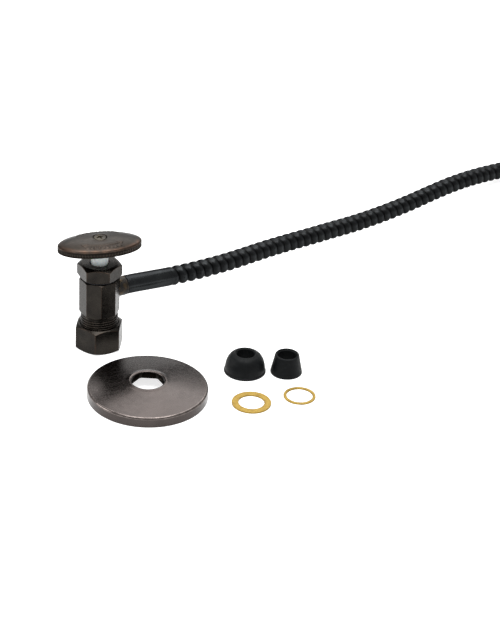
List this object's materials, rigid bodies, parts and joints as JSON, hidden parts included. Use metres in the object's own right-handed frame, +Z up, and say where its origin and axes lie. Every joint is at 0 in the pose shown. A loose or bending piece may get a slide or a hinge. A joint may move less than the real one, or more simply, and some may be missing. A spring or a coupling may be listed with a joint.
{
  "type": "angle stop valve",
  "caption": "Multi-turn angle stop valve with oval handle and fitted corrugated riser, shown with its loose wall escutcheon, cone washers and friction rings.",
  "frame": {"origin": "on the floor, under the middle of the whole kit's box", "axes": "+Z up along the valve's stem and inlet; +Y the long way of the layout, from the escutcheon in front to the riser's far end at the back; +X from the valve towards the loose washers; the outlet leaves at 34 degrees from +X towards +Y"},
  "size_m": [0.308, 0.3406, 0.066],
  "materials": {
    "bronze": "satin",
    "handle_bronze": "satin",
    "escutcheon_bronze": "satin",
    "screw_bronze": "satin",
    "collar_copper": "satin",
    "riser_black": "satin",
    "raw_brass": "satin",
    "ring_brass": "satin",
    "black_rubber": "matte",
    "cone_rubber": "matte",
    "stem_plastic": "satin"
  },
  "bodies": {
    "valve": {"valve_body": "bronze", "bonnet_nut": "bronze", "bonnet_gasket": "black_rubber", "stem_o_ring_lower": "black_rubber", "stem_o_ring_upper": "black_rubber", "riser_collar": "collar_copper", "riser_tube": "riser_black"},
    "seat_disc": {"washer_holder": "raw_brass", "seat_washer": "black_rubber", "washer_screw": "raw_brass"},
    "stem_and_handle": {"stem": "stem_plastic", "handle": "handle_bronze", "handle_screw": "screw_bronze"},
    "ferrule": {"inlet_ferrule": "raw_brass"},
    "nut": {"inlet_nut": "bronze"},
    "escutcheon": {"escutcheon": "escutcheon_bronze"},
    "large_cone": {"cone_washer_large": "cone_rubber"},
    "small_cone": {"cone_washer_small": "cone_rubber"},
    "large_ring": {"friction_ring_large": "ring_brass"},
    "small_ring": {"friction_ring_small": "ring_brass"}
  },
  "joints": [
    {"name": "stem_rise", "type": "slide", "parent": "valve", "child": "seat_disc", "axis": [0, 0, 1], "range_m": [-0.0045, 0]},
    {"name": "handle_turn", "type": "hinge", "parent": "seat_disc", "child": "stem_and_handle", "pos_m": [-0.132, -0.08851, 0.04], "axis": [0, 0, 1], "range_deg": [-1080, 0]},
    {"name": "nut_travel", "type": "slide", "parent": "valve", "child": "ferrule", "axis": [0, 0, 1], "range_m": [0, 0.0036]},
    {"name": "nut_turn", "type": "hinge", "parent": "ferrule", "child": "nut", "pos_m": [-0.132, -0.08851, 0.007], "axis": [0, 0, 1], "range_deg": [0, 918]},
    {"name": "escutcheon_lift", "type": "slide", "parent": "valve", "child": "escutcheon", "axis": [0, 0, 1], "range_m": [0, 0.03]},
    {"name": "large_cone_lift", "type": "slide", "parent": "valve", "child": "large_cone", "axis": [0, 0, 1], "range_m": [0, 0.03]},
    {"name": "small_cone_lift", "type": "slide", "parent": "valve", "child": "small_cone", "axis": [0, 0, 1], "range_m": [0, 0.03]},
    {"name": "large_ring_lift", "type": "slide", "parent": "valve", "child": "large_ring", "axis": [0, 0, 1], "range_m": [0, 0.03]},
    {"name": "small_ring_lift", "type": "slide", "parent": "valve", "child": "small_ring", "axis": [0, 0, 1], "range_m": [0, 0.03]}
  ],
  "couplings": [
    {"joint": "stem_rise", "follows": "handle_turn", "m_per_rad": 0.0002387},
    {"joint": "nut_travel", "follows": "nut_turn", "m_per_rad": 0.0002245}
  ]
}
